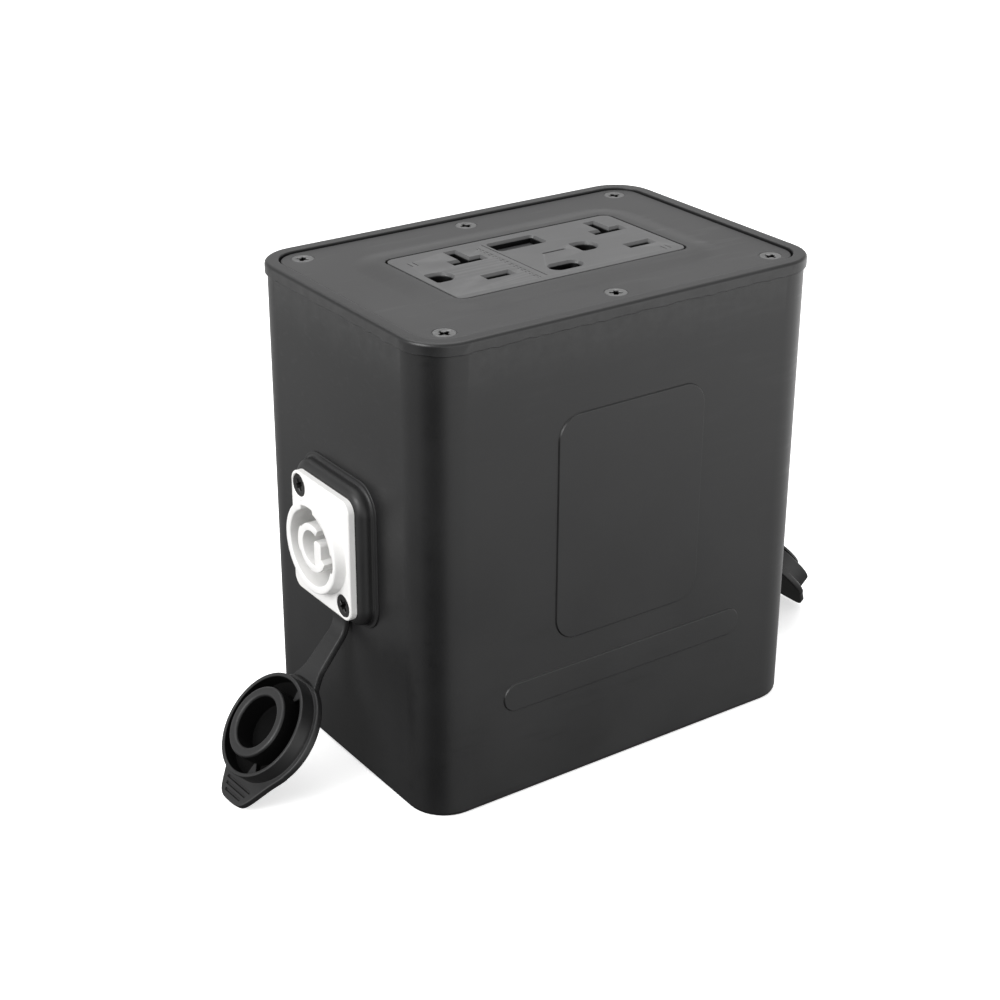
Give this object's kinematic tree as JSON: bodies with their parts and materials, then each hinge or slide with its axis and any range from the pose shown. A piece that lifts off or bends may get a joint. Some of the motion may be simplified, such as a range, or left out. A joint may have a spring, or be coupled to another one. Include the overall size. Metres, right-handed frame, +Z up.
{
  "type": "portable power distribution box",
  "caption": "Upright moulded box with a screwed lid, duplex mains receptacle with charging sockets on top, and capped locking power connectors in both end walls.",
  "frame": {"origin": "centre of the flat underside", "axes": "+Z up, +X along the long side from the power outlet to the power inlet, -Y the face with the raised badge"},
  "size_m": [0.1836, 0.0778, 0.1202],
  "materials": {
    "housing_plastic": "satin",
    "lid_plastic": "fine matt grain",
    "face_plastic": "satin",
    "back_body_plastic": "matt",
    "shutter_plastic": "satin",
    "tongue_plastic": "satin",
    "outlet_plastic": "satin",
    "inlet_plastic": "satin",
    "rubber": "matt",
    "screw_steel": "satin",
    "black_steel": "satin",
    "plated_steel": "bright",
    "brass": "bright",
    "tinned_brass": "tinned",
    "circuit_board": "lacquered",
    "board_parts": "matt",
    "black_wire": "satin",
    "white_wire": "satin",
    "green_wire": "satin"
  },
  "bodies": {
    "box": {"housing": "housing_plastic", "lid_gasket": "rubber", "lid_inserts": "brass", "lid": "lid_plastic", "lid_screws": "screw_steel", "receptacle_face": "face_plastic", "receptacle_yoke": "plated_steel", "yoke_screws": "plated_steel", "receptacle_body": "back_body_plastic", "hot_contact_bus": "brass", "neutral_contact_bus": "brass", "ground_contact_bus": "brass", "terminal_screws": "brass", "shutter_spring_left": "plated_steel", "shutter_spring_right": "plated_steel", "usb_a_shell": "plated_steel", "usb_a_tongue": "tongue_plastic", "usb_c_shell": "plated_steel", "usb_c_tongue": "tongue_plastic", "usb_board": "circuit_board", "usb_board_parts": "board_parts", "outlet_gasket": "rubber", "outlet_shell": "outlet_plastic", "outlet_core": "outlet_plastic", "outlet_contacts": "tinned_brass", "outlet_screws": "black_steel", "outlet_nuts": "plated_steel", "inlet_gasket": "rubber", "inlet_shell": "inlet_plastic", "inlet_core": "inlet_plastic", "inlet_contacts": "tinned_brass", "inlet_screws": "black_steel", "inlet_nuts": "plated_steel", "hot_wires": "black_wire", "neutral_wires": "white_wire", "ground_wires": "green_wire", "wire_terminals": "tinned_brass"},
    "left_shutter": {"shutter_left": "shutter_plastic"},
    "right_shutter": {"shutter_right": "shutter_plastic"},
    "outlet_strap_upper_link": {"outlet_strap_upper": "rubber"},
    "outlet_strap_lower_link": {"outlet_strap_lower": "rubber"},
    "outlet_dust_cap": {"outlet_cap": "rubber"},
    "inlet_strap_upper_link": {"inlet_strap_upper": "rubber"},
    "inlet_strap_lower_link": {"inlet_strap_lower": "rubber"},
    "inlet_dust_cap": {"inlet_cap": "rubber"}
  },
  "joints": [
    {"name": "outlet_strap_root_bend", "type": "hinge", "parent": "box", "child": "outlet_strap_upper_link", "pos_m": [-0.0579, -0.00128, 0.03744], "axis": [0, 0.9984, -0.0567], "range_deg": [0, 56.21], "stiffness_Nm_per_rad": 0.001},
    {"name": "outlet_strap_middle_bend", "type": "hinge", "parent": "outlet_strap_upper_link", "child": "outlet_strap_lower_link", "pos_m": [-0.06295, -0.0016, 0.0319], "axis": [0, 0.9984, -0.0567], "range_deg": [0, 59.17]},
    {"name": "outlet_cap_bend", "type": "hinge", "parent": "outlet_strap_lower_link", "child": "outlet_dust_cap", "pos_m": [-0.0684, -0.00194, 0.02592], "axis": [0, 0.9984, -0.0567], "range_deg": [0, 22.42]},
    {"name": "inlet_strap_root_bend", "type": "hinge", "parent": "box", "child": "inlet_strap_upper_link", "pos_m": [0.0579, -0.00032, 0.0374], "axis": [0, -0.9999, 0.014], "range_deg": [0, 56.21], "stiffness_Nm_per_rad": 0.001},
    {"name": "inlet_strap_middle_bend", "type": "hinge", "parent": "inlet_strap_upper_link", "child": "inlet_strap_lower_link", "pos_m": [0.06295, -0.00039, 0.03186], "axis": [0, -0.9999, 0.014], "range_deg": [0, 59.17]},
    {"name": "inlet_cap_bend", "type": "hinge", "parent": "inlet_strap_lower_link", "child": "inlet_dust_cap", "pos_m": [0.0684, -0.00048, 0.02586], "axis": [0, -0.9999, 0.014], "range_deg": [0, 22.42]},
    {"name": "shutter_left_slide", "type": "slide", "parent": "box", "child": "left_shutter", "axis": [0, 1, 0], "range_m": [0, 0.0032], "stiffness_N_per_m": 100, "deforming": ["shutter_spring_left"]},
    {"name": "shutter_right_slide", "type": "slide", "parent": "box", "child": "right_shutter", "axis": [0, 1, 0], "range_m": [0, 0.0032], "stiffness_N_per_m": 100, "deforming": ["shutter_spring_right"]}
  ],
  "couplings": [
    {"joint": "outlet_strap_middle_bend", "follows": "outlet_strap_root_bend", "ratio": 1.0519},
    {"joint": "outlet_cap_bend", "follows": "outlet_strap_root_bend", "ratio": 0.398},
    {"joint": "inlet_strap_middle_bend", "follows": "inlet_strap_root_bend", "ratio": 1.0519},
    {"joint": "inlet_cap_bend", "follows": "inlet_strap_root_bend", "ratio": 0.398}
  ]
}
